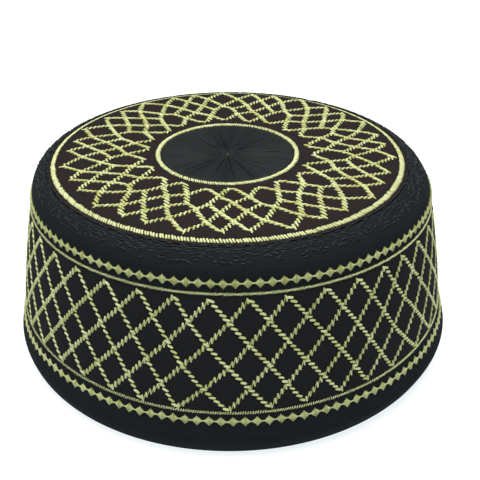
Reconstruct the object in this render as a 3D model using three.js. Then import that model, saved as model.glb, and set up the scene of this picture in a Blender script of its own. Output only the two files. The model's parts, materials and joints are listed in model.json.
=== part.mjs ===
// A round, stiff prayer cap standing on its open rim: an almost flat crown panel sewn to a tapered side band.
// Millimetres, +Z up, front towards -Y, origin at the centre of the rim on the surface that the cap stands on.
import * as THREE from "three";

// Driving dimensions
const clothThickness = 2.4;
const crownThickness = 2.0;
const crownHeight = 85.1;
const crownEdgeSlope = 0.2;
const crownShift = -2.2;
const shoulderRadius = 12;
const seamRadius = 78.2;
const seamGap = 0.3;

// Outside of the side band, a row for each level from the rim to the foot of the shoulder.
// The cap stands a little askew, so each level is shifted along X.
const bandSections = [
  { level: "rim", height: 0, radius: 94.1, shift: -1.0 },
  { level: "hem roll", height: 3.3, radius: 96.6, shift: -0.6 },
  { level: "hem", height: 8.9, radius: 98.4, shift: 0 },
  { level: "hem neck", height: 15, radius: 96.7, shift: -0.2 },
  { level: "above hem", height: 22.2, radius: 95.0, shift: -0.5 },
  { level: "middle", height: 44.5, radius: 91.8, shift: -0.5 },
  { level: "shoulder foot", height: 74.1, radius: 86.4, shift: -0.6 },
];

// Fineness of the facets
const turnSegments = 64;
const wallSteps = 3;
const shoulderSteps = 4;
const crownSteps = 8;

const blackCloth = { color: 0x14171b, roughness: 0.85, metalness: 0 };
const brownCloth = { color: 0x1a1417, roughness: 0.9, metalness: 0 };

// The shoulder is an arc that leaves the wall along the wall's own slope and ends level with the crown's edge.
const [middle, foot] = bandSections.slice(-2);
const wallLean = Math.atan((middle.radius - foot.radius) / (foot.height - middle.height));
const shoulderCentre = new THREE.Vector2(
  foot.radius - shoulderRadius * Math.cos(wallLean),
  foot.height - shoulderRadius * Math.sin(wallLean),
);
const crownEdgeAngle = Math.PI / 2 - crownEdgeSlope;
const seamAngle = Math.acos((seamRadius - shoulderCentre.x) / shoulderRadius);
const gapAngle = seamGap / shoulderRadius;

// Points along the shoulder arc from one angle above the horizontal to another, at a depth below its outside.
function shoulderArc(fromAngle, toAngle, depth) {
  const points = [];
  for (let i = 0; i <= shoulderSteps; i++) {
    const angle = THREE.MathUtils.lerp(fromAngle, toAngle, i / shoulderSteps);
    const reach = new THREE.Vector2(Math.cos(angle), Math.sin(angle));
    points.push(reach.multiplyScalar(shoulderRadius - depth).add(shoulderCentre));
  }
  return points;
}

// The wall's profile moved inwards by a depth, square to itself at every point.
function insideOf(profile, depth) {
  return profile.map((point, i) => {
    const before = profile[Math.max(i - 1, 0)];
    const after = profile[Math.min(i + 1, profile.length - 1)];
    const along = after.clone().sub(before).normalize();
    return new THREE.Vector2(point.x - along.y * depth, point.y + along.x * depth);
  });
}

// The sideways shift at a height, in straight runs from level to level.
function shiftAt(height) {
  const levels = [...bandSections, { height: crownHeight, shift: crownShift }];
  const found = levels.findIndex((row) => row.height >= height);
  const above = Math.max(found, 1);
  const [low, high] = [levels[above - 1], levels[above]];
  return THREE.MathUtils.mapLinear(height, low.height, high.height, low.shift, high.shift);
}

// A closed profile of radius and height turned about the upright axis, then shifted level by level.
function turnedPiece(name, profile, finish) {
  const geometry = new THREE.LatheGeometry(profile, turnSegments);
  geometry.rotateX(Math.PI / 2);
  const points = geometry.getAttribute("position");
  for (let i = 0; i < points.count; i++) {
    points.setX(i, points.getX(i) + shiftAt(points.getZ(i)));
  }
  const mesh = new THREE.Mesh(geometry, new THREE.MeshStandardMaterial(finish));
  mesh.name = name;
  return mesh;
}

// The band's outside runs from the rim over the hem, up the wall and round the shoulder to the seam.
// Its inside starts on the same level as the rim, so that the rim is a flat ring.
function sideBand() {
  const levels = bandSections.map((row) => new THREE.Vector2(row.radius, row.height));
  const wall = new THREE.SplineCurve(levels).getPoints(wallSteps * (levels.length - 1));
  const [rim] = wall;
  const rimInside = new THREE.Vector2(rim.x - clothThickness, rim.y);
  const wallInside = insideOf(wall.slice(1, -1), clothThickness);
  const topAngle = seamAngle - gapAngle;
  const outside = [...wall.slice(0, -1), ...shoulderArc(wallLean, topAngle, 0)];
  const inside = [rimInside, ...wallInside, ...shoulderArc(wallLean, topAngle, clothThickness)];
  return turnedPiece("side_band", [...outside, ...inside.reverse(), rim], blackCloth);
}

// One face of the crown, at a depth below its outside: from the seam along the shoulder arc,
// then over a panel that leaves the arc along its slope, soon turns flat and ends on the axis.
function crownFace(depth) {
  const arc = shoulderArc(seamAngle, crownEdgeAngle, depth);
  const edge = arc[arc.length - 1];
  const top = crownHeight - depth;
  const fullness = (Math.tan(crownEdgeSlope) * edge.x) / (top - edge.y);
  const panel = [];
  for (let i = 1; i <= crownSteps; i++) {
    const share = 1 - (i / crownSteps) ** 2;
    panel.push(new THREE.Vector2(edge.x * share, top - (top - edge.y) * share ** fullness));
  }
  return [...arc, ...panel];
}

function crownTop() {
  return turnedPiece("crown_top", [...crownFace(crownThickness).reverse(), ...crownFace(0)], brownCloth);
}

const cap = new THREE.Group();
cap.name = "prayer_cap";
cap.add(sideBand(), crownTop());

export default cap;
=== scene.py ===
"""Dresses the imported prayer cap: two cloth pieces, every run of embroidery on them, and a plain studio."""
import json
import math

import bpy
import numpy as np
from bpy.props import FloatProperty, FloatVectorProperty, IntProperty, PointerProperty
from mathutils import Matrix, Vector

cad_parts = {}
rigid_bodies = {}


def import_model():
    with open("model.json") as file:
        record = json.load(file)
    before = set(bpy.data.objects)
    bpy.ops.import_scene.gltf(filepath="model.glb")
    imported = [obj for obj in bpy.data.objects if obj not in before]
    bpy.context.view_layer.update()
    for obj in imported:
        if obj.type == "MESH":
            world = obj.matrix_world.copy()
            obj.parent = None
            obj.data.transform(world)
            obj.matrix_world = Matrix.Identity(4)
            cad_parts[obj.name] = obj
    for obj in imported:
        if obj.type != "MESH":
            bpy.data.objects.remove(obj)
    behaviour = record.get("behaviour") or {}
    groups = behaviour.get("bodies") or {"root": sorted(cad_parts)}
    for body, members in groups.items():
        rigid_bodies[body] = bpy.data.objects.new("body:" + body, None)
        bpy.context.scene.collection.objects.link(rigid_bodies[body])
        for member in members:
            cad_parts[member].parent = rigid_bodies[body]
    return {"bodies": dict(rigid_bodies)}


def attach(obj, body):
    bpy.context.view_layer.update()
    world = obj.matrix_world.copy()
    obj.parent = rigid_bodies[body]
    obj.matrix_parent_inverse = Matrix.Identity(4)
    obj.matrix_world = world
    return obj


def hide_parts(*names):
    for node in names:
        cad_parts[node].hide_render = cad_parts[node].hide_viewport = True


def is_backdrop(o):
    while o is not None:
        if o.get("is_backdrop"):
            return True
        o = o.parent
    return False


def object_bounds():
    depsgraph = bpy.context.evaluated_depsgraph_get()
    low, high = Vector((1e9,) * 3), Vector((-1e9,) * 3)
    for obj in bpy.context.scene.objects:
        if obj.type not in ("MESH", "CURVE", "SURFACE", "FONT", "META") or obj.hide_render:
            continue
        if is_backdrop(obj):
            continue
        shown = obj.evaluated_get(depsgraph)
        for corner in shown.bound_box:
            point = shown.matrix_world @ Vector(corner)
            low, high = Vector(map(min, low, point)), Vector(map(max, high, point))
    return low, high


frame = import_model()
cad_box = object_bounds()

bl_info = {
    "name": "Prayer Cap",
    "version": (1, 0, 0),
    "blender": (4, 5, 0),
    "location": "View3D > Sidebar > Prayer Cap",
    "description": "Builds an embroidered prayer cap around its packed frame",
    "category": "Add Mesh",
}

MM = 0.001
TURN = 2 * math.pi
(BODY,) = frame["bodies"]

# The band's outside from the rim to the foot of the shoulder: height, radius and sideways lean of each level.
BAND_LEVELS = MM * np.array([
    (0.0, 94.1, -1.0),
    (3.3, 96.6, -0.6),
    (8.9, 98.4, 0.0),
    (15.0, 96.7, -0.2),
    (22.2, 95.0, -0.5),
    (44.5, 91.8, -0.5),
    (74.1, 86.4, -0.6),
])
SHOULDER_RADIUS = 12 * MM
CROWN_HEIGHT = round(cad_box[1].z / MM, 3) * MM
CROWN_EDGE_SLOPE = 0.2
CROWN_LEAN = -2.2 * MM
SEAM_RADIUS = 78.2 * MM
SEAM_HALF_GAP = 0.15 * MM
SEAM_WIDTH = 1.0 * MM

# Where the runs of embroidery lie, as lengths along the outside from the rim or as radii on the crown.
LOWER_CHAIN_RUN = 18.1 * MM
LOWER_LINE_RUN = 22.9 * MM
LATTICE_FOOT_RUN = 24.1 * MM
LATTICE_HEAD_RUN = 69.0 * MM
UPPER_LINE_RUN = 71.0 * MM
UPPER_CHAIN_RUN = 75.0 * MM
SHOULDER_ROW_RUNS = MM * np.linspace(90.0, 83.0, 9)
OUTER_RING_RADIUS = 75.25 * MM
INNER_RING_RADIUS = 30.7 * MM
DISC_RADIUS = 29.4 * MM
DISC_MIDDLE = MM * np.array([0.0, -2.8])

# Padding under the crown, by radius, and the groove that the outer ring draws just outside its middle.
PAD_HEIGHT = 0.55 * MM
PAD_RISE, PAD_FALL = (58 * MM, 74 * MM), (72.8 * MM, 75.2 * MM)
GROOVE_RADIUS = OUTER_RING_RADIUS + 0.4 * MM
GROOVE_DEPTH, GROOVE_WIDTH = 0.36 * MM, 1.0 * MM

# The fields of coloured cloth: where each fades in and out, by run on the band and by radius on the crown.
BAND_FIELD = (21 * MM, 23 * MM), (70.5 * MM, 72 * MM)
CROWN_FIELD_EDGE = 78.4 * MM, 77.4 * MM

# The side lattice: its head and foot points across the front, in degrees. The rest are spread evenly.
LATTICE_REPEATS = 39
LATTICE_TRAVEL = 2.5
LATTICE_SPACING = 11.2 * MM
HEAD_POINTS = (-61.2, -52.0, -42.1, -32.3, -22.8, -13.8, -5.3, 4.1, 13.4, 23.3, 32.7, 41.7, 49.3, 58.0)
FOOT_POINTS = (-56.0, -47.1, -38.8, -30.0, -21.8, -13.1, -1.1, 8.5, 16.7, 25.9, 33.7, 42.3, 53.0)
# Near the front its feet reach lower: by how much, about which angle and how widely.
FOOT_SAG = (1.6 * MM, math.radians(-7), math.radians(18.4))

# The crown lattice: the points of one repeat in degrees and millimetres, and the lines drawn through them.
# A number after a point's name is the repeat that it lies in, counted from the line's own.
CROWN_REPEATS = 11
CROWN_PHASE = -13.5
CROWN_POINTS = {
    "A": (0.0, 72.6), "B": (11.3, 71.2), "C": (19.9, 71.2),
    "high": (15.5, 63.7), "left_high": (6.2, 64.6), "right_high": (25.8, 63.9),
    "left_mid": (10.1, 56.3), "right_mid": (20.9, 55.9), "axis_mid": (0.1, 54.8),
    "left_turn": (4.4, 49.8), "right_turn": (28.0, 50.9), "heart": (16.1, 48.5),
    "left_low": (8.4, 42.6), "right_low": (24.2, 43.9), "P": (0.2, 37.1), "Q": (15.4, 35.7),
}
CROWN_LINES = (
    "A0 left_high0 left_mid0 heart0 right_low0 P1 left_low1 heart1 right_mid1 right_high1 A2",
    "C0 right_high0 axis_mid1 left_turn1 left_low1 Q1 right_low1 right_turn1 axis_mid2 left_high2 B2",
    "left_turn0 left_mid0 high0 C0",
    "B0 high0 right_mid0 right_turn0",
)
# The crown's work is not quite round: how much farther out it lies in front and behind, and how much less far
# at the sides, by radius, in millimetres. Its lattice also lies a little to one side of the rings.
CROWN_LONGER = ((6, 26, 32, 40), (0, 0.5, 0.5, 0))
CROWN_NARROWER = ((6, 26, 32, 40, 52, 70, 72.5, 75), (0, 1.0, 1.0, -0.4, 0, 1.3, 1.3, 0))
CROWN_ASIDE = 0.5 * MM
ASIDE_RISE, ASIDE_FALL = (31.6 * MM, 37 * MM), (72 * MM, 74.6 * MM)

# Gloss of the finishes, with the black thread's roughness before its gloss
CLOTH_GLOSS = 0.03
GOLD_GLOSS = 0.35
DARK_SHEEN = (0.5, 0.12)

# The studio: the camera's place, turn and sensor, the tilt of the light overhead and half the floor's width
CAMERA_PLACE = (0.0, -350.6 * MM, 242.6 * MM)
CAMERA_PITCH, CAMERA_YAW, CAMERA_ROLL = 0.52192, 0.009052, -0.00161
SENSOR_WIDTH = 36.0
KEY_TILT = math.radians(-3), math.radians(-2.5), 0
FLOOR_REACH = 4.0


# Shapes

def spline(points, count):
    """A smooth curve through the points: a cubic from each point to the next, whose slope at a point is half
    the step from the point before it to the point after it."""
    points = np.asarray(points, float)
    place = np.linspace(0, len(points) - 1, count)
    first = np.minimum(place.astype(int), len(points) - 2)
    part = (place - first)[:, None]
    p0, p1, p2, p3 = (points[np.clip(first + k, 0, len(points) - 1)] for k in (-1, 0, 1, 2))
    slope1, slope2 = (p2 - p0) / 2, (p3 - p1) / 2
    cubic = 2 * p1 - 2 * p2 + slope1 + slope2
    square = 3 * p2 - 3 * p1 - 2 * slope1 - slope2
    return cubic * part**3 + square * part**2 + slope1 * part + p1


def evenly(line, count):
    """The same polyline at evenly spaced lengths along it, and those lengths."""
    steps = np.linalg.norm(np.diff(line, axis=0), axis=1)
    run = np.append(0, np.cumsum(steps))
    even = np.linspace(0, run[-1], count)
    return np.stack([np.interp(even, run, column) for column in line.T], -1), even


def two_spacings(start, change, end, first, second):
    """Values from start to end, spaced evenly as so many up to the change and as so many from there on."""
    return np.append(np.linspace(start, change, first)[:-1], np.linspace(change, end, second))


def bell(distance, width):
    """A hump of height one that falls off as the exponential of minus the squared distance over the width."""
    return np.exp(-(distance / width) ** 2)


def ease(value, low, high):
    """Zero below low, one above high, and a smooth cubic step between them."""
    part = np.clip((value - low) / (high - low), 0, 1)
    return part * part * (3 - 2 * part)


def within(value, rise, fall):
    """One between two smooth steps, the first up and the second down, each given by its start and end."""
    return ease(value, *rise) * (1 - ease(value, *fall))


def heading(angle):
    """The direction on the crown's plan at an angle from the front."""
    return np.stack([np.sin(angle), -np.cos(angle)], -1)


def round_steps(count, shift=0.0):
    """Angles at even steps of a whole turn, each moved on by a share of one step."""
    return TURN * (np.arange(count) + shift) / count


def count_round(radius, pitch):
    """How many steps of about this pitch go round a radius."""
    return int(round(TURN * radius / pitch))


def cap_profile():
    """The outside from the rim to the crown's centre, in columns of run, radius, height, lean and normal: a
    spline up the band, an arc round the shoulder that starts along the wall's slope, and a panel that falls
    from the centre as a power of the radius. Padding raises a stretch of the panel, and the groove is a bell
    taken away. The lean goes straight from level to level, and is then averaged over a short window."""
    wall_steps, arc_steps, panel_steps, even_steps, window = 800, 300, 800, 3400, 81
    middle, foot = BAND_LEVELS[-2:]
    wall = spline(BAND_LEVELS[:, [1, 0]], wall_steps)
    slant = math.atan2(middle[1] - foot[1], foot[0] - middle[0])
    centre = foot[[1, 0]] - SHOULDER_RADIUS * np.array([math.cos(slant), math.sin(slant)])
    angle = np.linspace(slant, math.pi / 2 - CROWN_EDGE_SLOPE, arc_steps)[1:]
    arc = centre + SHOULDER_RADIUS * np.stack([np.cos(angle), np.sin(angle)], -1)
    edge, edge_height = arc[-1]
    share = np.linspace(1, 0, panel_steps)[1:]
    drop = CROWN_HEIGHT - edge_height
    fullness = math.tan(CROWN_EDGE_SLOPE) * edge / drop
    panel = np.stack([edge * share, CROWN_HEIGHT - drop * share**fullness], -1)
    line = np.concatenate([wall, arc, panel])
    radius = line[:, 0]
    line[:, 1] += PAD_HEIGHT * within(radius, PAD_RISE, PAD_FALL)
    line[:, 1] -= GROOVE_DEPTH * bell(radius - GROOVE_RADIUS, GROOVE_WIDTH)
    line, run = evenly(line, even_steps)
    levels = np.append(BAND_LEVELS[:, 0], CROWN_HEIGHT)
    lean = np.interp(line[:, 1], levels, np.append(BAND_LEVELS[:, 2], CROWN_LEAN))
    lean = np.convolve(np.pad(lean, window // 2, mode="edge"), np.ones(window) / window, mode="valid")
    tangent = np.gradient(line, run, axis=0)
    tangent /= np.linalg.norm(tangent, axis=1, keepdims=True)
    return np.column_stack([run, line, lean, tangent[:, 1], -tangent[:, 0]])


PROFILE = cap_profile()
CROWN_RUN = PROFILE[-1, 0]


def radius_at(run):
    """The profile's radius at a run."""
    return np.interp(run, PROFILE[:, 0], PROFILE[:, 1])


def run_at(radius):
    """The run at which the crown or shoulder has this radius, read backwards from the centre."""
    top = PROFILE[PROFILE[:, 0] > UPPER_CHAIN_RUN][::-1]
    return np.interp(radius, top[:, 1], top[:, 0])


SEAM_RUN = float(run_at(SEAM_RADIUS))


def lay(angle, run, lift=0.0):
    """A point of the cap: the profile at this run, moved out along its normal by the lift, turned about the
    upright axis to this angle from the front, and moved sideways by the profile's lean."""
    radius, height, lean, out, up = (np.interp(run, PROFILE[:, 0], column) for column in PROFILE[:, 1:].T)
    radius = radius + lift * out
    point = radius * np.sin(angle) + lean, -radius * np.cos(angle), height + lift * up
    return np.stack(np.broadcast_arrays(*point), -1)


def lay_flat(across, deep, lift=0.0):
    """A point of the crown from its place on a plan about the crown's centre: the distance from there gives
    the run, and the direction the angle. The distance first grows by the charted length and shrinks by the
    charted narrowing times the squared sine of the angle, and the lattice's points move aside."""
    angle, radius = np.arctan2(across, -deep), np.hypot(across, deep)
    aside = CROWN_ASIDE * within(radius, ASIDE_RISE, ASIDE_FALL)
    longer, narrower = (MM * np.interp(radius / MM, *chart) for chart in (CROWN_LONGER, CROWN_NARROWER))
    radius = radius + longer - narrower * np.sin(angle) ** 2
    points = lay(angle, run_at(radius), lift)
    points[..., 0] += aside
    return points


def angle_among(points, place):
    """The angle in degrees of a place that counts repeats from the first charted point. Past the last charted
    point the repeats are spread evenly."""
    rest = np.linspace(points[-1], points[0] + 360, LATTICE_REPEATS - len(points) + 2)
    turns, part = np.divmod(place, LATTICE_REPEATS)
    return np.interp(part, np.arange(LATTICE_REPEATS + 1), np.append(points, rest[1:])) + 360 * turns


def lattice_angle(place, share):
    """The angle of a place on the side lattice, at a share of the way from its feet to its heads: the angles
    among the foot points, half a repeat on, and among the head points, blended by that share."""
    at_foot, at_head = angle_among(FOOT_POINTS, place - 0.5), angle_among(HEAD_POINTS, place)
    return np.radians(at_foot * (1 - share) + at_head * share)


def crown_point(word, repeat):
    """A charted point on the crown's plan, turned to its repeat."""
    angle, radius = CROWN_POINTS[word[:-1]]
    turned = angle + 360 / CROWN_REPEATS * (repeat + int(word[-1])) + CROWN_PHASE
    return MM * radius * heading(np.radians(turned))


def crown_paths():
    """Every line of the crown lattice on the plan: a spline through its points, at even lengths along it."""
    steps = 60
    paths = []
    for repeat in range(CROWN_REPEATS):
        for words in CROWN_LINES:
            corners = [crown_point(word, repeat) for word in words.split()]
            count = steps * len(corners)
            paths.append(evenly(spline(corners, count), count)[0])
    return paths


# Meshes

def grid_faces(rows, columns, ring_rows=False):
    """Quads of a grid whose columns close on themselves, and whose rows do too where ring_rows is set."""
    row = np.arange(rows if ring_rows else rows - 1)[:, None]
    column = np.arange(columns)
    after, beside = (row + 1) % rows, (column + 1) % columns
    corners = [(row, column), (row, beside), (after, beside), (after, column)]
    return np.stack([down * columns + along for down, along in corners], -1).reshape(-1, 4)


def grid_uv(across, along):
    """UVs of every corner of a grid's quads, from the values at the edges of its columns and of its rows."""
    column, row = np.meshgrid(np.arange(len(across) - 1), np.arange(len(along) - 1))
    corners = ((0, 0), (1, 0), (1, 1), (0, 1))
    uv = [np.stack([across[column + i], along[row + j]], -1) for i, j in corners]
    return np.stack(uv, -2).reshape(-1, 4, 2)


def pole_faces(rows, columns):
    """Triangles from a grid's first row to a pole below and from its last row to a pole above. The poles are
    the two points that follow the grid's own."""
    ring = np.arange(columns)
    beside = np.roll(ring, -1)
    last = (rows - 1) * columns
    pole = np.full(columns, rows * columns)
    below = np.stack([beside, ring, pole], -1)
    above = np.stack([last + ring, last + beside, pole + 1], -1)
    return np.concatenate([below, above])


def put_mesh(name, points, face_groups, uv_groups=None, marks=None):
    """A mesh object at the origin from whole arrays: points, groups of faces with equal numbers of corners,
    UVs for each corner of those groups, and one value per point for each named mark."""
    loops = np.concatenate([faces.ravel() for faces in face_groups]).astype(np.int32)
    sizes = np.concatenate([np.full(len(faces), faces.shape[1]) for faces in face_groups])
    mesh = bpy.data.meshes.new(name)
    mesh.vertices.add(len(points))
    mesh.vertices.foreach_set("co", points.astype(np.float32).ravel())
    mesh.loops.add(len(loops))
    mesh.loops.foreach_set("vertex_index", loops)
    mesh.polygons.add(len(sizes))
    mesh.polygons.foreach_set("loop_start", np.append(0, np.cumsum(sizes)[:-1]).astype(np.int32))
    mesh.update(calc_edges=True)
    mesh.polygons.foreach_set("use_smooth", np.ones(len(sizes), bool))
    if uv_groups is not None:
        uv = np.concatenate([group.reshape(-1, 2) for group in uv_groups])
        mesh.uv_layers.new(name="cloth").data.foreach_set("uv", uv.astype(np.float32).ravel())
    for mark, values in (marks or {}).items():
        layer = mesh.attributes.new(mark, "FLOAT", "POINT")
        layer.data.foreach_set("value", values.astype(np.float32).ravel())
    if mesh.validate():
        raise RuntimeError(f"{name} has faces that don't hold together")
    piece = bpy.data.objects.new(name, mesh)
    bpy.context.scene.collection.objects.link(piece)
    return piece


def finish_piece(piece, finish, *replaced):
    """Gives a piece its material and body, and hides the nodes that it stands for."""
    material, slot = finish
    piece.data.materials.append(material)
    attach(piece, BODY)
    if replaced:
        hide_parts(*replaced)


# Stitches

def stitch_shape(rings, sides, bluntness=6, head=0.0):
    """One stitch of unit half-length, half-width and height: a flattened ring carried along its length, which
    swells from its ends as the root of one minus a power of the length, widens towards its head and arches so
    that both ends dip."""
    end_crowding, end_size, squareness, underside, dip = 1.42, 1.02, 0.7, 0.45, 0.35
    along = np.sin(np.linspace(-1, 1, rings) * end_crowding)[:, None]
    swell = np.sqrt(np.clip(end_size - np.abs(along) ** bluntness, 0, 1)) * (1 + head * along)
    turn = round_steps(sides, 0.5) - np.pi / 2
    rise = np.where(np.sin(turn) > 0, np.sin(turn), underside * np.sin(turn))
    across = swell**squareness * np.cos(turn)
    up = swell * rise - dip * along**4
    shape = np.stack(np.broadcast_arrays(along, across, up), -1).reshape(-1, 3)
    # Each wall starts at its second corner, which sets the diagonal that it is split along.
    walls = np.roll(grid_faces(rings, sides), -1, axis=1)
    wall_uv = grid_uv(np.linspace(0, 1, sides + 1), np.linspace(0, 1, rings))[..., ::-1]
    wall_uv = np.roll(wall_uv, -1, axis=1)
    ring = np.arange(sides)
    ends = np.stack([ring, (rings - 1) * sides + ring[::-1]])
    end_uv = np.stack([np.full((sides, 2), (end, 0.5)) for end in (0.0, 1.0)])
    return shape, (walls, ends), (wall_uv, end_uv)


def on_crown(across, deep, right, ahead, up):
    """A stitch's points at its place on the crown's plan."""
    return lay_flat(across + right, deep + ahead, up)


def on_band(angle, run, right, ahead, up):
    """A stitch's points at its place on the band, where a length to the right over the radius is an angle."""
    return lay(angle + right / radius_at(run), run + ahead, up)


def stitch_run(name, finish, lay_on, places, angles, lengths, widths, heights, tones, shape, lift=0.0):
    """Many stitches as one piece. Each is the unit stitch scaled, turned to its angle and laid at its place
    on the crown or the band. Its tone falls from its top to its sides and ends as painted shade."""
    painted_side_shade, middle_height = 0.6, 0.7
    unit, faces, uvs = shape
    count = len(places)
    values = (angles, lengths, widths, heights, tones, lift)
    angles, lengths, widths, heights, tones, lift = (np.broadcast_to(v, count)[:, None] for v in values)
    along, across, up = unit[:, 0] * lengths / 2, unit[:, 1] * widths / 2, unit[:, 2] * heights + lift
    right = along * np.cos(angles) - across * np.sin(angles)
    ahead = along * np.sin(angles) + across * np.cos(angles)
    points = lay_on(places[:, :1], places[:, 1:], right, ahead, up).reshape(-1, 3)
    first = len(unit) * np.arange(count)[:, None, None]
    face_groups = [(group + first).reshape(-1, group.shape[1]) for group in faces]
    uv_groups = [np.broadcast_to(uv, (count, *uv.shape)) for uv in uvs]
    # Painted shade: each stitch's top is lighter and its sides and ends are darker.
    tone = tones + painted_side_shade * (np.clip(unit[:, 2], 0, 1) - middle_height)
    finish_piece(put_mesh(name, points, face_groups, uv_groups, {"tone": tone}), finish)


def by_direction(direction, middle, swing, peak=55):
    """A value that swings about its middle with a line's direction, as a cosine of twice the angle from the
    peak, which is in degrees. Lines that rise to the right are near the usual peak."""
    return middle + swing * np.cos(2 * (direction - np.radians(peak)))


def strokes_on(line, pitches):
    """Places and directions along a polyline, as far apart as the pitch for the direction there: the steps
    over their pitches are added up, and a stroke stands in the middle of each whole count."""
    steps = 400
    fine, _ = evenly(line, steps)
    step = np.diff(fine, axis=0)
    direction = np.arctan2(step[:, 1], step[:, 0])
    counted = np.append(0, np.cumsum(np.linalg.norm(step, axis=1) / by_direction(direction, *pitches)))
    total = max(2, int(round(counted[-1])))
    wanted = (np.arange(total) + 0.5) * counted[-1] / total
    at = np.stack([np.interp(wanted, counted, column) for column in fine.T], -1)
    return at, direction[np.searchsorted(counted, wanted) - 1]


def lattice_strokes(name, lay_on, lines, strokes, draw, link, stretch=1.0):
    """Strokes along every line as one piece, with their pitch, slant from the line, width and length each by
    the line's direction, and a second piece of thin links on rising lines, from one share of a stroke's half
    length to another share of the next one's. On the band, stretch turns a step of angle into a length, so
    that directions are true."""
    size = bpy.context.scene.cap_sizes
    reach, rising_peak, link_height = 0.44, 40, 0.3 * MM
    rows, starts, ends = [], [], []
    for line in lines:
        at, direction = strokes_on(line * stretch, strokes["pitch"])
        ahead = direction[:-1] >= 0
        direction = np.where(direction < 0, direction + np.pi, direction)
        angle = direction + by_direction(direction, *strokes["slant"]) + draw.normal(0, 0.06, len(at))
        length, width = (by_direction(direction, *strokes[key]) for key in ("length", "width"))
        at = at + draw.normal(0, 0.08 * MM, at.shape)
        rows.append(np.column_stack([at / stretch, angle, length, width]))
        half = reach * length[:, None] * np.stack([np.cos(angle), np.sin(angle)], -1)
        rising = by_direction(direction[:-1], 0, 1, rising_peak) > 0
        first = np.arange(len(at) - 1)
        low, high = np.where(ahead, first, first + 1)[rising], np.where(ahead, first + 1, first)[rising]
        starts.append(at[low] + link[0] * half[low])
        ends.append(at[high] + link[1] * half[high])
    rows, starts, ends = (np.concatenate(v) for v in (rows, starts, ends))
    count = len(rows)
    stitch_run(name, gold_thread(), lay_on, rows[:, :2], rows[:, 2],
               lengths=rows[:, 3] * draw.uniform(0.9, 1.1, count),
               widths=rows[:, 4] * draw.uniform(0.88, 1.12, count),
               heights=size.stroke_height * draw.uniform(0.85, 1.15, count),
               tones=draw.uniform(*strokes["tones"], count), shape=strokes["shape"])
    step = ends - starts
    stitch_run(name.replace("lattice", "links"), gold_thread(), lay_on, (starts + ends) / 2 / stretch,
               np.arctan2(step[:, 1], step[:, 0]), lengths=np.linalg.norm(step, axis=1),
               widths=size.link_width, heights=link_height, tones=draw.uniform(0, 0.6, len(step)),
               shape=stitch_shape(4, 5))


# Materials

class Value:
    """A number in a node tree. Sums on it add Math nodes."""

    def __init__(self, maker, socket):
        self.maker = maker
        self.socket = socket

    def sum_with(self, operation, *others):
        settings = {"operation": operation}
        inputs = dict(enumerate((self, *others)))
        return self.maker.node("ShaderNodeMath", settings, inputs)["Value"]

    def __add__(self, other):
        return self.sum_with("ADD", other)

    def __sub__(self, other):
        return self.sum_with("SUBTRACT", other)

    def __mul__(self, other):
        return self.sum_with("MULTIPLY", other)

    def __rsub__(self, other):
        return (self * -1.0) + other

    __radd__ = __add__
    __rmul__ = __mul__

    def sine(self):
        return self.sum_with("SINE")


class Finish:
    """A material with one Principled shader, and the method that adds every other node to it."""

    def __init__(self, name, **constants):
        self.material = bpy.data.materials.new(name)
        self.material.use_nodes = True
        self.tree = self.material.node_tree
        self.shader = self.tree.nodes["Principled BSDF"]
        for socket, value in constants.items():
            self.shader.inputs[socket.replace("_", " ")].default_value = value

    def node(self, kind, settings, inputs):
        """Adds a node of this kind, sets its settings, then its sockets to values or links, and returns its
        outputs by name as values."""
        made = self.tree.nodes.new(kind)
        for key, value in settings.items():
            setattr(made, key, value)
        for key, value in inputs.items():
            if isinstance(value, Value):
                self.tree.links.new(value.socket, made.inputs[key])
            else:
                made.inputs[key].default_value = value
        return {output.name: Value(self, output) for output in made.outputs if output.enabled}

    def mark(self, name):
        """The value of a named mark on the mesh."""
        return self.node("ShaderNodeAttribute", {"attribute_name": name}, {})["Fac"]

    def cloth_place(self):
        """The piece's own UV map, whole and as its two coordinates."""
        place = self.node("ShaderNodeUVMap", {"uv_map": "cloth"}, {})["UV"]
        parts = self.node("ShaderNodeSeparateXYZ", {}, {"Vector": place})
        return place, parts["X"], parts["Y"]

    def noise(self, place, scale, detail=2.0, roughness=0.5):
        """Soft noise between zero and one at a scale in features per unit of the place."""
        inputs = {"Vector": place, "Scale": scale, "Detail": detail, "Roughness": roughness}
        return self.node("ShaderNodeTexNoise", {}, inputs)["Fac"]

    def spread(self, value, low, high, to_low=0.0, to_high=1.0):
        """The value carried from one range to another, and held at its ends."""
        inputs = {"Value": value, "From Min": low, "From Max": high, "To Min": to_low, "To Max": to_high}
        return self.node("ShaderNodeMapRange", {"clamp": True}, inputs)["Result"]

    def blend(self, part, first, second):
        """One colour turning into another as part goes from zero to one."""
        settings = {"data_type": "RGBA", "blend_type": "MIX"}
        part_socket, first_socket, second_socket = 0, 6, 7
        inputs = {part_socket: part, first_socket: first, second_socket: second}
        return self.node("ShaderNodeMix", settings, inputs)["Result"]

    def feed(self, **links):
        """Links what varies to the shader's own sockets."""
        for socket, value in links.items():
            self.tree.links.new(value.socket, self.shader.inputs[socket.replace("_", " ")])

    def relief(self, height, distance, strength):
        """A Bump of this height on the shader's Normal."""
        bump = self.node("ShaderNodeBump", {}, {"Height": height, "Distance": distance, "Strength": strength})
        self.feed(Normal=bump["Normal"])


def colour(rgb, share=1.0):
    """A colour for a socket, scaled."""
    return (*(part * share for part in rgb), 1.0)


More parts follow.
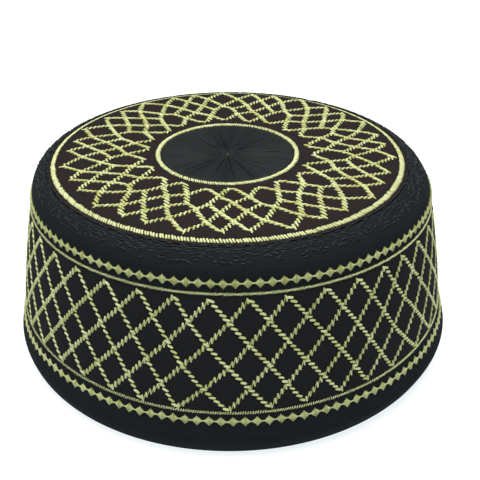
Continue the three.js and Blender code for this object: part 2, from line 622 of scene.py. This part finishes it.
def cloth_finish(name, field, plain):
    """Matte woven cloth: fine threads across each other as bump, slow mottling in the colour, and the field's
    own colour wherever the mesh's field mark is one."""
    pitch, fuzz_size, slub_size, cloud_size, relief = 0.55 * MM, 0.35 * MM, 1.1 * MM, 7 * MM, 0.12 * MM
    made = Finish(name, Specular_IOR_Level=CLOTH_GLOSS)
    calm = [0.5 * (first + second) for first, second in zip(field, plain)]
    place, across, along = made.cloth_place()
    warp = (across * (TURN / pitch)).sine()
    weft = (along * (TURN / pitch)).sine()
    checks = ((across + along) * (math.pi / pitch)).sine() * ((across - along) * (math.pi / pitch)).sine()
    fuzz = made.noise(place, 1 / fuzz_size)
    cloud = made.noise(place, 1 / cloud_size, 4.0, 0.6)
    slub = made.noise(place, 1 / slub_size)
    weave = warp * 0.25 + weft * 0.2 + checks * 0.35 + fuzz * 0.6
    field_tone = made.blend(made.spread(cloud, 0.35, 0.65), colour(field), colour(calm))
    plain_tone = made.blend(cloud, colour(plain, 0.8), colour(plain, 1.2))
    tone = made.blend(made.mark("field"), plain_tone, field_tone)
    tone = made.blend(made.spread(slub, 0.35, 0.75) * 0.3, tone, colour(field, 1.5))
    made.feed(Base_Color=tone, Roughness=made.spread(fuzz, 0.2, 0.8, 0.78, 0.95))
    made.relief(weave, relief, 0.5)
    return made.material


def thread_finish(name, deep, pale, roughness, gloss):
    """Silky thread: fine strands along each stitch as bump, each stitch with its own tone between deep and
    pale, which also holds painted shade from its top to its sides, and noise in its tone and roughness."""
    strands, twist, fluff_scale, uneven, relief = 9.0, 0.8, 14.0, 0.07, 0.08 * MM
    made = Finish(name, Specular_IOR_Level=gloss)
    place, along, around = made.cloth_place()
    strand = ((around * strands + along * twist) * TURN).sine()
    fluff = made.noise(place, fluff_scale)
    # The tone mark holds each stitch's random tone and its painted shade.
    tone = made.spread(made.mark("tone") + (fluff - 0.5) * 0.35, 0.0, 1.0)
    made.feed(Base_Color=made.blend(tone, colour(deep), colour(pale)),
              Roughness=made.spread(fluff, 0.25, 0.75, roughness - uneven, roughness + uneven))
    made.relief(strand * 0.6 + fluff * 0.4, relief, 0.5)
    return made.material


def shared(name, slot, make, first, second, *values):
    """A material by name with the record's slot for it. It is made from two of the named colours the first
    time that it is asked for."""
    first, second = (getattr(bpy.context.scene.cap_colours, key) for key in (first, second))
    return bpy.data.materials.get(name) or make(name, first, second, *values), slot


def gold_thread():
    """Pale gold embroidery thread."""
    sheen = bpy.context.scene.cap_colours.gold_roughness, GOLD_GLOSS
    return shared("gold_strands", "gold_thread", thread_finish, "gold_deep", "gold_pale", *sheen)


def black_thread():
    """Black embroidery thread with a soft sheen."""
    return shared("black_strands", "black_thread", thread_finish, "thread_deep", "thread_pale", *DARK_SHEEN)


def grey_thread():
    """The black thread's paler cut end."""
    return shared("grey_strands", "black_thread", thread_finish, "thread_pale", "knot", *DARK_SHEEN)


def crown_weave():
    """Brown-black cloth of the crown."""
    return shared("crown_weave", "brown_cloth", cloth_finish, "crown_field", "black")


def band_weave():
    """Blue-black cloth of the band."""
    return shared("band_weave", "black_cloth", cloth_finish, "band_field", "black")


# What a user would change

def length_property(name, description, default):
    """A length in metres."""
    return FloatProperty(name=name, description=description, default=default, min=0.0, max=0.1,
                         subtype="DISTANCE", unit="LENGTH", precision=5)


def count_property(name, description, default):
    """A number of like things."""
    return IntProperty(name=name, description=description, default=default, min=1)


def colour_property(name, description, default):
    """A linear colour."""
    return FloatVectorProperty(name=name, description=description, default=default, min=0.0, max=1.0,
                               size=3, subtype="COLOR")


def strength_property(name, description, default):
    """A light's strength."""
    return FloatProperty(name=name, description=description, default=default, min=0.0)


class CapSizes(bpy.types.PropertyGroup):
    """Sizes of the cloth and of the stitches on it."""
    band_thickness: length_property("Band thickness", "Thickness of the side band's cloth", 2.4 * MM)
    crown_thickness: length_property("Crown thickness", "Thickness of the crown's cloth", 2.0 * MM)
    puff: length_property("Puff", "How far cloth stands up between the lattice's lines", 0.45 * MM)
    seam_depth: length_property("Seam depth", "How far both edges roll into the crown's seam", 0.2 * MM)
    stroke_pitch: length_property("Stroke pitch", "Distance between the side lattice's stitches", 2.3 * MM)
    stroke_length: length_property("Stroke length", "Length of one stitch of the side lattice", 2.85 * MM)
    stroke_width: length_property("Stroke width", "Width of one stitch of the side lattice", 1.03 * MM)
    crown_pitch: length_property("Crown pitch", "Distance between the crown lattice's stitches", 2.3 * MM)
    crown_stroke: length_property("Crown stroke", "Length of one stitch of the crown lattice", 3.85 * MM)
    crown_width: length_property("Crown width", "Width of one stitch of the crown lattice", 1.1 * MM)
    stroke_height: length_property("Stroke height", "Height of one lattice stitch above the cloth", 0.6 * MM)
    link_width: length_property("Link width", "Width of the thin thread between two strokes", 0.42 * MM)
    chain_height: length_property("Chain height", "Height of one diamond of the chains", 4.3 * MM)
    chain_neck: length_property("Chain neck", "Height of the chain between two diamonds", 0.6 * MM)
    ring_width: length_property("Ring width", "Width of the crown's satin rings", 2.05 * MM)
    line_width: length_property("Line width", "Width of the thin corded lines", 0.52 * MM)
    upper_diamonds: count_property("Upper diamonds", "Diamonds round the upper chain", 122)
    lower_diamonds: count_property("Lower diamonds", "Diamonds round the lower chain", 131)
    grooves: count_property("Grooves", "Creases between the centre disc's satin stitches", 60)


class CapColours(bpy.types.PropertyGroup):
    """Colours of the cloth and threads."""
    gold_deep: colour_property("Gold, deep", "The gold thread where it is dullest", (0.350, 0.372, 0.090))
    gold_pale: colour_property("Gold, pale", "The gold thread where it is brightest", (0.612, 0.660, 0.362))
    gold_roughness: FloatProperty(name="Gold roughness", description="How dull the gold thread is",
                                  default=0.45, min=0.0, max=1.0, subtype="FACTOR")
    thread_deep: colour_property("Black, deep", "The black thread where it is darkest", (0.006, 0.008, 0.009))
    thread_pale: colour_property("Black, pale", "The black thread where it is palest", (0.022, 0.029, 0.031))
    knot: colour_property("Knot", "The thread end in the middle of the crown", (0.11, 0.115, 0.105))
    crown_field: colour_property("Crown field", "Cloth under the crown's lattice", (0.0184, 0.0132, 0.0134))
    band_field: colour_property("Band field", "Cloth under the side lattice", (0.0148, 0.0147, 0.0166))
    black: colour_property("Black cloth", "Cloth of the hem and shoulder", (0.0100, 0.0129, 0.0152))


class CapStage(bpy.types.PropertyGroup):
    """The studio round the cap."""
    lens: FloatProperty(name="Lens", description="Focal length on a 36 mm sensor", default=65.82, min=1.0,
                        subtype="DISTANCE_CAMERA", unit="CAMERA")
    key_strength: strength_property("Key strength", "Strength of the wide light overhead", 5.5)
    key_spread: FloatProperty(name="Key spread", description="Apparent width of the light overhead",
                              default=math.radians(48), subtype="ANGLE", unit="ROTATION")
    key_colour: colour_property("Key colour", "Colour of the wide light overhead", (1.0, 0.985, 0.93))
    sky_strength: strength_property("Sky strength", "Strength of the even light all round", 0.1)
    floor: colour_property("Floor", "The pale floor", (0.25, 0.25, 0.25))
    glow: colour_property("Glow", "Colour of the light that comes up through the floor", (0.93, 0.99, 1.0))
    floor_glow: strength_property("Floor glow", "Strength of the light that comes up through the floor", 0.89)


# Pieces

class CrownCloth(bpy.types.Operator):
    """The round crown panel: a closed shell over the dome, with cells puffed between the lattice's lines"""
    bl_idname = "prayer_cap.crown_cloth"
    bl_label = "Crown cloth"

    def execute(self, context):
        """Outside lift: puff times one minus a bell of the distance to the nearest line, worked out in one
        repeat and copied round, less a bell of depth at the seam. Inside: one thickness down."""
        size = context.scene.cap_sizes
        per_repeat, edge_rows, panel_rows, under_rows, batches = 44, 12, 96, 26, 24
        edge_strip, puff_width = 4 * MM, 1.9 * MM
        puff_rise, puff_fall = (33 * MM, 36 * MM), (70 * MM, 73 * MM)
        columns = per_repeat * CROWN_REPEATS
        angle = round_steps(columns)
        edge = SEAM_RUN + SEAM_HALF_GAP
        outside = two_spacings(edge, edge + edge_strip, CROWN_RUN, edge_rows, panel_rows)[:-1, None]
        radius = radius_at(outside)
        plan = radius[..., None] * heading(angle)
        far = np.full((len(plan), per_repeat), 1.0)
        lines = np.concatenate([path[::3] for path in crown_paths()])
        for part in np.array_split(lines, batches):
            gap = np.linalg.norm(plan[:, :per_repeat, None] - part, axis=-1).min(-1)
            far = np.minimum(far, gap)
        puff = size.puff * (1 - bell(far, puff_width)) * within(radius, puff_rise, puff_fall)
        sunk = size.seam_depth * bell(outside - edge, SEAM_WIDTH)
        top = lay_flat(plan[..., 0], plan[..., 1], np.tile(puff, (1, CROWN_REPEATS)) - sunk)
        under = np.linspace(CROWN_RUN, edge, under_rows)[1:, None]
        bottom = lay(angle, under, -size.crown_thickness)
        rings = np.concatenate([bottom, top])
        poles = lay(np.zeros(2), CROWN_RUN, np.array([-size.crown_thickness, 0.0]))
        points = np.concatenate([rings.reshape(-1, 3), poles])
        groups = [grid_faces(len(rings), columns), pole_faces(len(rings), columns)]
        uvs = [points[group][..., :2] for group in groups]
        field = ease(np.hypot(points[:, 0] - CROWN_LEAN, points[:, 1]), *CROWN_FIELD_EDGE)
        piece = put_mesh("crown_cloth", points, groups, uvs, {"field": field})
        finish_piece(piece, crown_weave(), "crown_top")
        return {"FINISHED"}


class BandCloth(bpy.types.Operator):
    """The side band: a closed shell from the folded rim over hem, wall and shoulder to the crown's seam"""
    bl_idname = "prayer_cap.band_cloth"
    bl_label = "Band cloth"

    def execute(self, context):
        """Columns follow the lattice, so a line of it is a straight run of places. Outside lift: puff times
        one minus a bell of the distance to the nearest line of either family, less a bell of depth at the
        seam. The rim is half a circle of one thickness, set down on the floor. Inside: one thickness in."""
        size = context.scene.cap_sizes
        per_repeat, fold_rows, inside_rows, wall_rows, edge_rows = 14, 9, 16, 112, 9
        strip, puff_width, set_down, uv_radius = 3 * MM, 2.0 * MM, 6 * MM, 92 * MM
        columns = per_repeat * LATTICE_REPEATS
        thick = size.band_thickness
        start, edge = thick / 2, SEAM_RUN - SEAM_HALF_GAP
        fold = np.linspace(np.pi, 0, fold_rows)
        inside = np.linspace(edge, start, inside_rows)[:-1]
        outside = two_spacings(start, edge - strip, edge, wall_rows, edge_rows)[1:]
        run = np.concatenate([inside, start - start * np.sin(fold), outside])
        folded = start * (np.cos(fold) - 1)
        lift = np.concatenate([np.full_like(inside, -thick), folded, np.zeros_like(outside)])
        share = np.clip((run - LATTICE_FOOT_RUN) / (LATTICE_HEAD_RUN - LATTICE_FOOT_RUN), 0, 1)[:, None]
        place = np.arange(columns) / per_repeat
        crossed = [place + way * LATTICE_TRAVEL * share - 0.5 for way in (1, -1)]
        far = LATTICE_SPACING * np.min([np.abs(count - np.round(count)) for count in crossed], axis=0)
        puff_rise = LATTICE_FOOT_RUN, LATTICE_FOOT_RUN + strip
        puff_fall = LATTICE_HEAD_RUN - strip, LATTICE_HEAD_RUN
        on_outside = lift > -0.01 * MM
        puffed = within(run, puff_rise, puff_fall) * on_outside
        puff = size.puff * (1 - bell(far, puff_width)) * puffed[:, None]
        sunk = size.seam_depth * bell(run - edge, SEAM_WIDTH) * on_outside
        points = lay(lattice_angle(place, share), run[:, None], (lift - sunk)[:, None] + puff).reshape(-1, 3)
        points[:, 2] -= points[:, 2].min() * np.clip(1 - points[:, 2] / set_down, 0, 1)
        uv = grid_uv(TURN * uv_radius * np.arange(columns + 1) / columns, np.append(run, run[0]))
        field = np.repeat(within(run, *BAND_FIELD), columns)
        quads = grid_faces(len(run), columns, ring_rows=True)
        piece = put_mesh("band_cloth", points, [quads], [uv], {"field": field})
        finish_piece(piece, band_weave(), "side_band")
        return {"FINISHED"}


class CentreDisc(bpy.types.Operator):
    """The crown's centre: a thin closed pad of radial satin stitch with creases, and its thread's end"""
    bl_idname = "prayer_cap.centre_disc"
    bl_label = "Centre disc"

    def execute(self, context):
        """Lift: a pad that falls to the cloth at its edge and dimples in its middle, less for each crease a
        bell of the distance from its radius line, as deep as its own draw and faded at both its ends. Tone:
        random waves round the disc, darker along each crease as painted shade."""
        columns, rows, waves, strands = 1440, 44, 90, 40
        height, dimple, dimple_width, base = 0.55 * MM, 0.25 * MM, 3 * MM, -0.5 * MM
        crease_depth, crease_width, fade_in, fade_out = 0.5 * MM, 0.15 * MM, 4 * MM, 5 * MM
        draw = np.random.default_rng(seed=11)
        count = context.scene.cap_sizes.grooves
        angle = round_steps(columns)
        radius = np.linspace(DISC_RADIUS, 0, rows)[:-1]
        share = radius / DISC_RADIUS
        crease = round_steps(count, draw.uniform(-0.35, 0.35, count))
        depth = draw.uniform(0.1, 1, count) ** 1.5
        inner = draw.uniform(1, 8, count) * MM
        outer = draw.uniform(12, 32, count) * MM
        pad = height * np.sqrt(np.clip(1 - share**6, 0, 1)) - dimple * bell(radius, dimple_width)
        sunk = np.zeros((len(radius), columns))
        for k in range(count):
            aside = np.angle(np.exp(1j * (angle - crease[k]))) * radius[:, None]
            reach = within(radius, (inner[k], inner[k] + fade_in), (outer[k] - fade_out, outer[k]))
            sunk += depth[k] * bell(aside, crease_width) * reach[:, None]
        spot = radius[:, None, None] * heading(angle) + (1 - share)[:, None, None] * DISC_MIDDLE
        top = lay_flat(spot[..., 0], spot[..., 1], pad[:, None] - crease_depth * sunk)
        bottom = lay_flat(*(DISC_RADIUS * heading(angle)).T, base)
        poles = lay_flat(DISC_MIDDLE[[0, 0]], DISC_MIDDLE[[1, 1]], np.array([base, pad[-1]]))
        points = np.concatenate([bottom, top.reshape(-1, 3), poles])
        quads, caps = grid_faces(rows, columns), pole_faces(rows, columns)
        uv = grid_uv(strands * np.arange(columns + 1) / columns, np.append(0, 1 - share))[..., ::-1]
        wave = draw.uniform(0, 1, waves)
        tone = np.interp(angle, np.linspace(0, TURN, waves + 1), np.append(wave, wave[0]))
        # Painted shade: the tone is darker along each crease, in step with its depth.
        tone = 0.08 + 0.25 * tone - 0.5 * np.concatenate([sunk[:1], sunk])
        tone = np.append(np.clip(tone, 0, 1), (0.3, 0.1))
        groups, uvs = [quads, caps], [uv, np.zeros((len(caps), 3, 2))]
        finish_piece(put_mesh("centre_disc", points, groups, uvs, {"tone": tone}), black_thread())
        stitch_run("centre_knot", grey_thread(), on_crown, DISC_MIDDLE[None], math.radians(105),
                   lengths=1.7 * MM, widths=0.5 * MM, heights=0.35 * MM, tones=0.9, shape=stitch_shape(6, 8),
                   lift=0.35 * MM)
        return {"FINISHED"}


class Rings(bpy.types.Operator):
    """The two satin rings of the crown: close stitches across each ring's width"""
    bl_idname = "prayer_cap.rings"
    bl_label = "Rings"

    def execute(self, context):
        """Stitch k stands at k steps of angle on the ring's radius, turned a little from the radius."""
        size = context.scene.cap_sizes
        draw = np.random.default_rng(seed=23)
        slant, height, fullness = math.radians(27), 0.5 * MM, 0.8
        for name, radius, pitch, width in (
            ("inner_ring", INNER_RING_RADIUS, 0.95 * MM, 1.15 * size.ring_width),
            ("outer_ring", OUTER_RING_RADIUS, 1.2 * MM, size.ring_width),
        ):
            count = count_round(radius, pitch)
            angle = round_steps(count, draw.uniform(-0.12, 0.12, count))
            reach = radius + draw.normal(0, 0.07 * MM, count)
            stitch_run(name, gold_thread(), on_crown, reach[:, None] * heading(angle),
                       angle + np.pi / 2 + slant + draw.normal(0, 0.07, count),
                       lengths=width * draw.uniform(0.85, 1.1, count), widths=fullness * pitch,
                       heights=height, tones=draw.uniform(0.55, 1.2, count), shape=stitch_shape(6, 8))
        return {"FINISHED"}


class CrownLattice(bpy.types.Operator):
    """The open lattice between the crown's rings, in slanted gold strokes along every line"""
    bl_idname = "prayer_cap.crown_lattice"
    bl_label = "Crown lattice"

    def execute(self, context):
        """Lines are the charted splines on the crown's plan. What goes by direction has its middle, its swing
        and its peak."""
        size = context.scene.cap_sizes
        strokes = {
            "pitch": (size.crown_pitch, 0.35 * MM, 105),
            "slant": (math.radians(37), math.radians(9.5), 46),
            "width": (size.crown_width, 0.1 * MM, 110),
            "length": (size.crown_stroke, 0.8 * MM, 105),
            "tones": (0.2, 0.9),
            "shape": stitch_shape(6, 6, bluntness=3, head=0.2),
        }
        draw = np.random.default_rng(seed=31)
        lattice_strokes("crown_lattice", on_crown, crown_paths(), strokes, draw, link=(1, 0))
        return {"FINISHED"}


class SideLattice(bpy.types.Operator):
    """The diamond lattice round the side band, in slanted gold strokes along every line"""
    bl_idname = "prayer_cap.side_lattice"
    bl_label = "Side lattice"

    def execute(self, context):
        """A line goes from its foot point to the head point two and a half repeats on, to either side,
        straight in places and runs. The feet near the front are let down by a bell of the angle. What goes by
        direction has its middle and its swing."""
        size = context.scene.cap_sizes
        steps, wall_radius = 120, 91.5 * MM
        share = np.linspace(0, 1, steps)
        run = LATTICE_FOOT_RUN + share * (LATTICE_HEAD_RUN - LATTICE_FOOT_RUN)
        depth, middle, width = FOOT_SAG
        lines = []
        for foot in np.arange(LATTICE_REPEATS) + 0.5:
            for way in (1, -1):
                angle = lattice_angle(foot + way * LATTICE_TRAVEL * share, share)
                sag = depth * bell(2 * np.sin((angle - middle) / 2), width)
                lines.append(np.stack([angle, run - (1 - share) * sag], -1))
        strokes = {
            "pitch": (size.stroke_pitch, 0.0),
            "slant": (math.radians(41.5), math.radians(9.5)),
            "width": (size.stroke_width, -0.15 * MM),
            "length": (size.stroke_length, 0.0),
            "tones": (0.35, 1.05),
            "shape": stitch_shape(6, 6),
        }
        draw = np.random.default_rng(seed=37)
        stretch = np.array([wall_radius, 1.0])
        lattice_strokes("side_lattice", on_band, lines, strokes, draw, link=(-1, 1), stretch=stretch)
        return {"FINISHED"}


class Chains(bpy.types.Operator):
    """The chains of small satin diamonds above and below the side lattice"""
    bl_idname = "prayer_cap.chains"
    bl_label = "Diamond chains"

    def execute(self, context):
        """Upright threads at even steps round the cap. A thread's length is the greater of the neck's and a
        peak that falls straight to either side of each diamond's middle."""
        size = context.scene.cap_sizes
        draw = np.random.default_rng(seed=41)
        per_diamond, half_width, overlap = 11, 0.44, 1.1
        neck_rise, peak_rise = 0.45 * MM, 0.25 * MM
        for name, run, diamonds, phase, tone in (
            ("upper_chain", UPPER_CHAIN_RUN, size.upper_diamonds, -22.72, 0.85),
            ("lower_chain", LOWER_CHAIN_RUN, size.lower_diamonds, -24.82, 1.0),
        ):
            count = per_diamond * diamonds
            place = (np.arange(count) - per_diamond // 2) / per_diamond
            peak = np.clip(1 - np.abs(place - np.round(place)) / half_width, 0, 1)
            length = np.maximum(size.chain_neck, size.chain_height * peak) + draw.normal(0, 0.08 * MM, count)
            offsets = draw.normal(0, 0.1 * MM, diamonds)
            wander = np.interp(np.arange(count) / per_diamond, np.arange(diamonds), offsets)
            places = np.stack([math.radians(phase) + TURN * place / diamonds, run + wander], -1)
            tones = np.clip(tone - 0.4 * peak + draw.normal(0, 0.25, count), 0, 1)
            stitch_run(name, gold_thread(), on_band, places, math.pi / 2 + draw.normal(0, 0.03, count),
                       lengths=length, widths=overlap * TURN * radius_at(run) / count,
                       heights=neck_rise + peak_rise * peak, tones=tones, shape=stitch_shape(5, 5))
        return {"FINISHED"}


class Lines(bpy.types.Operator):
    """The two thin corded lines that border the side lattice"""
    bl_idname = "prayer_cap.lines"
    bl_label = "Lines"

    def execute(self, context):
        """Short slanted stitches at even steps. The lower line rises to the sides as a cosine of twice the
        angle."""
        size = context.scene.cap_sizes
        draw = np.random.default_rng(seed=43)
        length, height = 1.5 * MM, 0.42 * MM
        for name, run, sway, pitch, slant in (
            ("upper_line", UPPER_LINE_RUN, 0.0, 0.85 * MM, 46),
            ("lower_line", LOWER_LINE_RUN, 1.1 * MM, 0.95 * MM, 58),
        ):
            count = count_round(radius_at(run), pitch)
            angle = round_steps(count)
            places = np.stack([angle, run - sway * np.cos(2 * angle) + draw.normal(0, 0.05 * MM, count)], -1)
            stitch_run(name, gold_thread(), on_band, places, math.radians(slant) + draw.normal(0, 0.2, count),
                       lengths=length, widths=size.line_width, heights=height,
                       tones=draw.uniform(0.55, 1.25, count), shape=stitch_shape(5, 5))
        return {"FINISHED"}


class ShoulderRows(bpy.types.Operator):
    """The rows of short black stitches that quilt the shoulder just outside the crown's seam"""
    bl_idname = "prayer_cap.shoulder_rows"
    bl_label = "Shoulder rows"

    def execute(self, context):
        """Row by row, stitches end to end round the cap, with every place, turn and length drawn a little
        apart. Lower down they are shorter, more scattered and more often left out."""
        draw = np.random.default_rng(seed=47)
        width, height = 0.68 * MM, 0.4 * MM
        places, angles, lengths, tones = [], [], [], []
        for row, run in enumerate(SHOULDER_ROW_RUNS):
            pitch, spread = (4.6 - 0.28 * row) * MM, (0.10 + 0.05 * row) * MM
            left_out, wobble = 0.04 + 0.06 * row, 0.03 + 0.05 * row
            count = count_round(radius_at(run), pitch)
            keep = draw.uniform(0, 1, count) > left_out
            angle = round_steps(count, draw.uniform(-0.25, 0.25, count))
            places.append(np.stack([angle, run + draw.normal(0, spread, count)], -1)[keep])
            angles.append(draw.normal(0, wobble, count)[keep])
            lengths.append((pitch * draw.uniform(0.6, 1.0, count))[keep])
            # Random tone per stitch; the paler stitches stand in for glints, as painted highlight.
            tones.append(draw.uniform(0.35, 1, count)[keep])
        places, angles, lengths, tones = (np.concatenate(v) for v in (places, angles, lengths, tones))
        stitch_run("shoulder_rows", black_thread(), on_band, places, angles, lengths, width, height, tones,
                   stitch_shape(5, 6))
        return {"FINISHED"}


class ClothCuts(bpy.types.Operator):
    """An empty step: it marks nothing on the crown or the band"""
    bl_idname = "prayer_cap.cloth_cuts"
    bl_label = "Cloth cuts"

    def execute(self, context):
        """Does nothing. The crown was cut as a disc as wide as the outside from seam to seam. The band was
        cut as a strip as long as the cap is round at its widest and as wide as its profile is long. Its area
        is that profile turned."""
        return {"FINISHED"}


# Studio

def put_floor(look):
    """A square of pale paper with faint noise in its colour, lit from below."""
    corners = FLOOR_REACH * np.array([(-1, -1, 0), (1, -1, 0), (1, 1, 0), (-1, 1, 0)])
    floor = put_mesh("floor", corners, [np.array([[0, 1, 2, 3]])])
    paper = Finish("floor_paper", Roughness=0.9, Specular_IOR_Level=0.1, Emission_Color=colour(look.glow),
                   Emission_Strength=look.floor_glow)
    place = paper.node("ShaderNodeTexCoord", {}, {})["Object"]
    grain = paper.noise(place, 60.0)
    paper.feed(Base_Color=paper.blend(grain, colour(look.floor, 0.99), colour(look.floor, 1.01)))
    floor.data.materials.append(paper.material)
    floor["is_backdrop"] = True


def put_lights(scene, look):
    """A wide light overhead, and even white light all round."""
    key = bpy.data.objects.new("key_light", bpy.data.lights.new("key_light", "SUN"))
    key.data.energy = look.key_strength
    key.data.color = look.key_colour
    key.data.angle = look.key_spread
    key.rotation_euler = KEY_TILT
    scene.collection.objects.link(key)
    scene.world = bpy.data.worlds.new("studio")
    scene.world.use_nodes = True
    sky = scene.world.node_tree.nodes["Background"].inputs
    sky["Color"].default_value = (1, 1, 1, 1)
    sky["Strength"].default_value = look.sky_strength


def put_camera(scene, look):
    """The camera at its place: rolled about its own axis, pitched down from level, and turned by its yaw."""
    camera = bpy.data.objects.new("camera", bpy.data.cameras.new("camera"))
    camera.data.lens = look.lens
    camera.data.sensor_width = SENSOR_WIDTH
    camera.data.clip_start = 0.01
    roll = Matrix.Rotation(CAMERA_ROLL, 4, "Z")
    pitch = Matrix.Rotation(math.pi / 2 - CAMERA_PITCH, 4, "X")
    yaw = Matrix.Rotation(-CAMERA_YAW, 4, "Z")
    camera.matrix_world = Matrix.Translation(CAMERA_PLACE) @ yaw @ pitch @ roll
    scene.collection.objects.link(camera)
    scene.camera = camera


class Stage(bpy.types.Operator):
    """Pale floor, a wide light overhead, even light all round and the camera"""
    bl_idname = "prayer_cap.stage"
    bl_label = "Stage"

    def execute(self, context):
        """Floor, lights and camera, and a view that shows colours as they are."""
        scene = context.scene
        put_floor(scene.cap_stage)
        put_lights(scene, scene.cap_stage)
        put_camera(scene, scene.cap_stage)
        scene.view_settings.view_transform = "Standard"
        return {"FINISHED"}


# Panel and start

class CapPanel(bpy.types.Panel):
    """Lists the cap's values and pieces in the sidebar"""
    bl_idname = "VIEW3D_PT_prayer_cap"
    bl_label = "Prayer cap"
    bl_space_type = "VIEW_3D"
    bl_region_type = "UI"
    bl_category = "Prayer Cap"

    def draw(self, context):
        for key, group in GROUPS.items():
            box = self.layout.box()
            for name in group.__annotations__:
                box.prop(getattr(context.scene, key), name)
        for step in STEPS:
            self.layout.operator(step.bl_idname)


GROUPS = {"cap_sizes": CapSizes, "cap_colours": CapColours, "cap_stage": CapStage}
STEPS = (Stage, CrownCloth, BandCloth, CentreDisc, Rings, CrownLattice, SideLattice, Chains, Lines,
         ShoulderRows, ClothCuts)


def register():
    for made in (*GROUPS.values(), *STEPS, CapPanel):
        bpy.utils.register_class(made)
    for key, group in GROUPS.items():
        setattr(bpy.types.Scene, key, PointerProperty(type=group))


def unregister():
    for key in GROUPS:
        delattr(bpy.types.Scene, key)
    for made in reversed((*GROUPS.values(), *STEPS, CapPanel)):
        bpy.utils.unregister_class(made)


def main():
    """Registers the classes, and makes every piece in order."""
    register()
    for step in STEPS:
        group, name = step.bl_idname.split(".")
        getattr(getattr(bpy.ops, group), name)()
    boxes = {"cad": cad_box, "visual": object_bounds()}
    boxes = {key: [list(corner) for corner in box] for key, box in boxes.items()}


if __name__ == "__main__":
    main()
